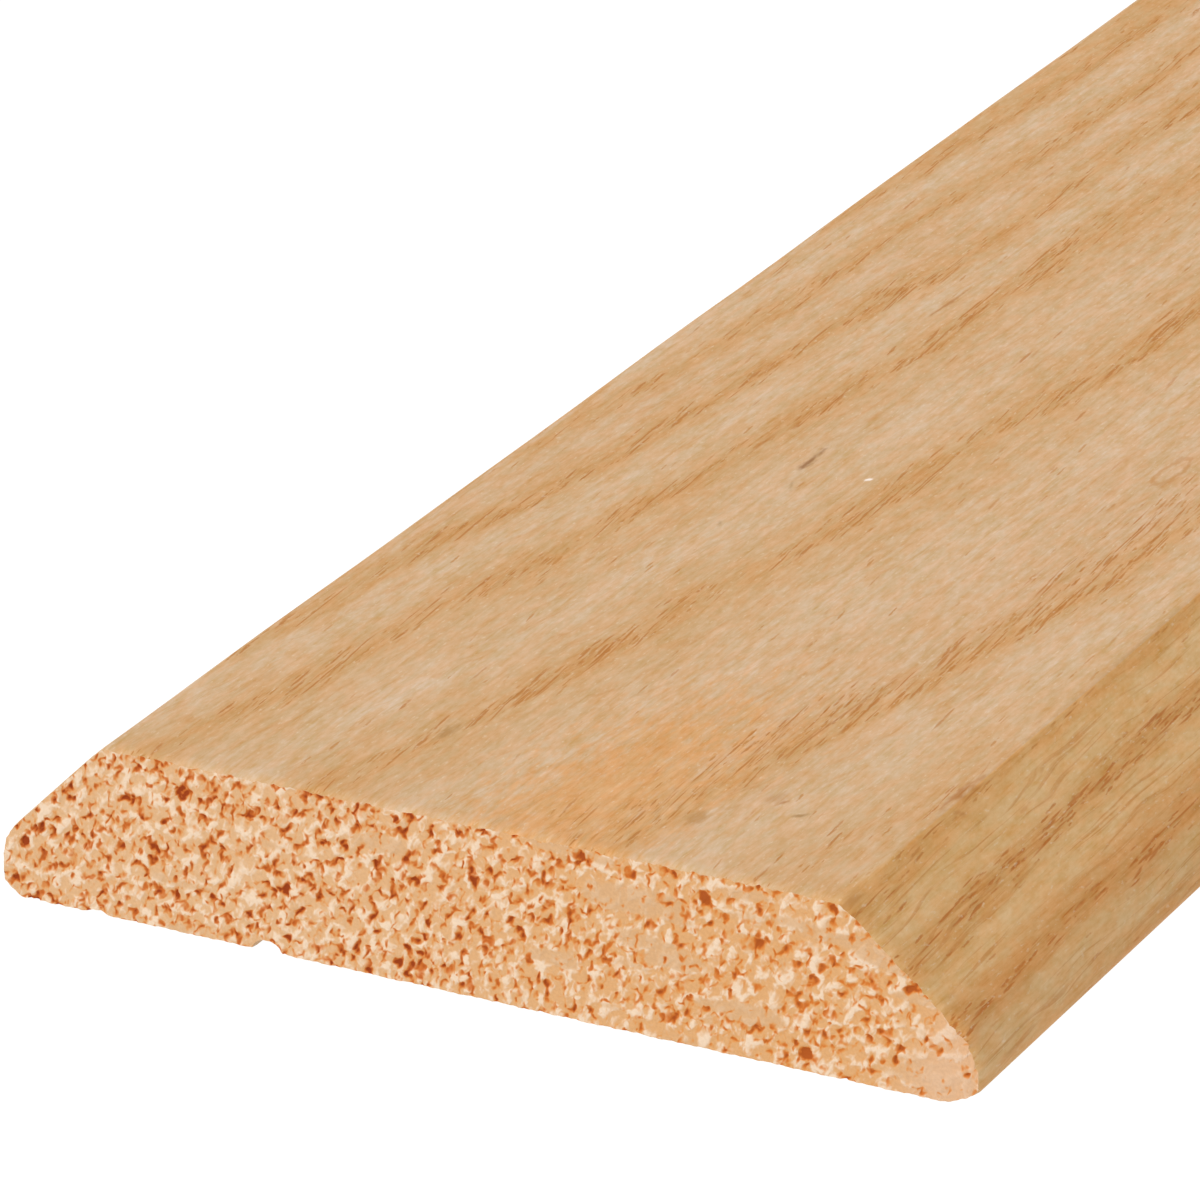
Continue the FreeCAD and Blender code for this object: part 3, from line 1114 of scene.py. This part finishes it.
def recess_blade(head_top, turn, steel):
    """One blade of the cross recess, which tapers from just above the head to its floor."""
    points = []
    for z, span, slot in (
        (head_top + 0.2, RECESS_SPAN + 0.2, RECESS_SLOT + 0.03),
        (head_top - RECESS_DEPTH, RECESS_ROOT_SPAN, RECESS_ROOT_SLOT),
    ):
        for i, j in ((-1, -1), (1, -1), (1, 1), (-1, 1)):
            points.append((i * span / 2, j * slot / 2, z))
    faces = [[0, 1, 2, 3], [7, 6, 5, 4], [1, 0, 4, 5], [2, 1, 5, 6], [3, 2, 6, 7], [0, 3, 7, 4]]
    blade = new_object("recess_blade", points, faces, [steel])
    blade.data.transform(Matrix.Rotation(math.radians(turn), 4, "Z"))
    return blade


def build_screws():
    """The four screws, each a turned copy of one mesh."""
    pattern = screw_mesh(zinc_plate())
    for node, turn in zip(SCREWS, RECESS_TURNS):
        screw = bpy.data.objects.new(node + "_steel", pattern.data)
        bpy.context.scene.collection.objects.link(screw)
        screw.location = (0, screw_centre(node) * MM, 0)
        screw.rotation_euler = (0, 0, math.radians(turn))
        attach(screw, "root")
        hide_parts(node)
    bpy.data.objects.remove(pattern)


# ---------------------------------------------------------------------------------------------
# The studio
# ---------------------------------------------------------------------------------------------
# The floor's half size in metres, its glow, and how far it lies below the strip in millimetres,
# so that the two never share a plane
FLOOR_HALF = 30.0
FLOOR_GLOW = 1.0
FLOOR_GAP = 0.05
# The camera's direction and roll, and its distance and aim in millimetres
CAMERA_AZIMUTH = math.radians(32.75)
CAMERA_ELEVATION = math.radians(24.79)
CAMERA_ROLL = math.radians(-4.33)
CAMERA_DISTANCE = 317.8
CAMERA_AIM = (8.11, -HALF_LENGTH, 20.92)
CAMERA_LENS = 224.4
KEY_DIRECTION = (-0.25, -0.75, 0.61)
KEY_STRENGTH = 0.85 * math.pi
KEY_SOFTNESS = math.radians(30)
WORLD_STRENGTH = 0.72


def build_camera():
    """A long lens looking down at the near end from its right, tilted a little."""
    sin_a, cos_a = math.sin(CAMERA_AZIMUTH), math.cos(CAMERA_AZIMUTH)
    sin_e, cos_e = math.sin(CAMERA_ELEVATION), math.cos(CAMERA_ELEVATION)
    forward = Vector((-sin_a * cos_e, cos_a * cos_e, -sin_e))
    level = Vector((cos_a, sin_a, 0))
    upright = level.cross(forward)
    right = level * math.cos(CAMERA_ROLL) + upright * math.sin(CAMERA_ROLL)
    up = upright * math.cos(CAMERA_ROLL) - level * math.sin(CAMERA_ROLL)
    place = (Vector(CAMERA_AIM) - forward * CAMERA_DISTANCE) * MM
    turn = Matrix((right, up, -forward)).transposed().to_4x4()
    lens = bpy.data.cameras.new("camera")
    lens.lens = CAMERA_LENS
    lens.sensor_width = 36
    lens.clip_start = 0.01
    lens.clip_end = 100
    camera = bpy.data.objects.new("camera", lens)
    bpy.context.scene.collection.objects.link(camera)
    camera.matrix_world = Matrix.Translation(place) @ turn
    bpy.context.scene.camera = camera


def build_floor():
    """A plain floor, backlit so that no shadow shows on it."""
    material, _, shader = new_material("pale_floor")
    shader.inputs["Base Color"].default_value = (0.08, 0.08, 0.08, 1)
    shader.inputs["Roughness"].default_value = 1.0
    shader.inputs["Specular IOR Level"].default_value = 0.0
    shader.inputs["Emission Color"].default_value = (1, 1, 1, 1)
    shader.inputs["Emission Strength"].default_value = FLOOR_GLOW
    corners = [(-1, -1), (1, -1), (1, 1), (-1, 1)]
    points = [(i * FLOOR_HALF / MM, j * FLOOR_HALF / MM, -FLOOR_GAP) for i, j in corners]
    floor = new_object("floor", points, [[0, 1, 2, 3]], [material])


def build_lights():
    """One broad key light from the front left, and an even pale surround."""
    sun = bpy.data.lights.new("key", "SUN")
    sun.energy = KEY_STRENGTH
    sun.angle = KEY_SOFTNESS
    key = bpy.data.objects.new("key", sun)
    key.rotation_mode = "QUATERNION"
    key.rotation_quaternion = Vector(KEY_DIRECTION).to_track_quat("Z", "Y")
    bpy.context.scene.collection.objects.link(key)
    world = bpy.data.worlds.new("studio")
    world.use_nodes = True
    surround = world.node_tree.nodes["Background"]
    surround.inputs["Color"].default_value = (1, 1, 1, 1)
    surround.inputs["Strength"].default_value = WORLD_STRENGTH
    bpy.context.scene.world = world


build_camera()
build_floor()
build_lights()
build_strip()
build_screws()
bpy.context.scene.view_settings.view_transform = "Standard"
